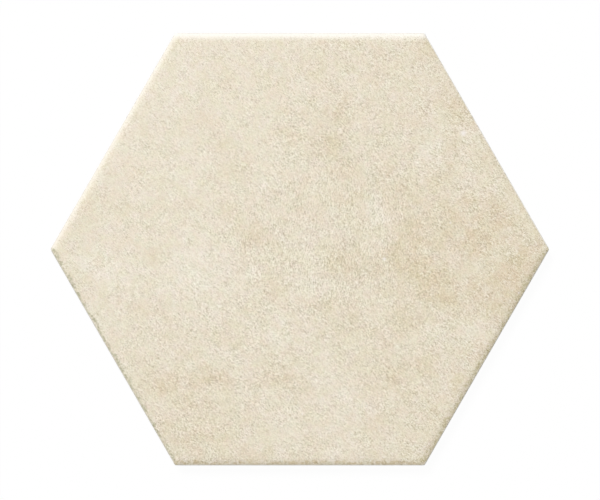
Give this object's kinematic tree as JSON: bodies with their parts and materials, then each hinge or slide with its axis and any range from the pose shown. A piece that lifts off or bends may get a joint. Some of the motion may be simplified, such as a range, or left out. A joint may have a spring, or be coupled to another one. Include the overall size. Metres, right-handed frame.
{
  "type": "hexagon floor tile",
  "caption": "Flat hexagonal floor tile with a rounded cushion edge on its wearing face, upright side lands and a honeycomb key on its back.",
  "frame": {"origin": "centre of the back, in the plane of its ribs, where the tile rests", "axes": "+Z out of the wearing face; +X through a corner, so two opposite sides are parallel to X and face +Y and -Y"},
  "size_m": [0.3286, 0.285, 0.009],
  "materials": {
    "glazed_stoneware": "matte"
  },
  "bodies": {
    "root": {"hexagon_tile": "glazed_stoneware"}
  },
  "joints": []
}
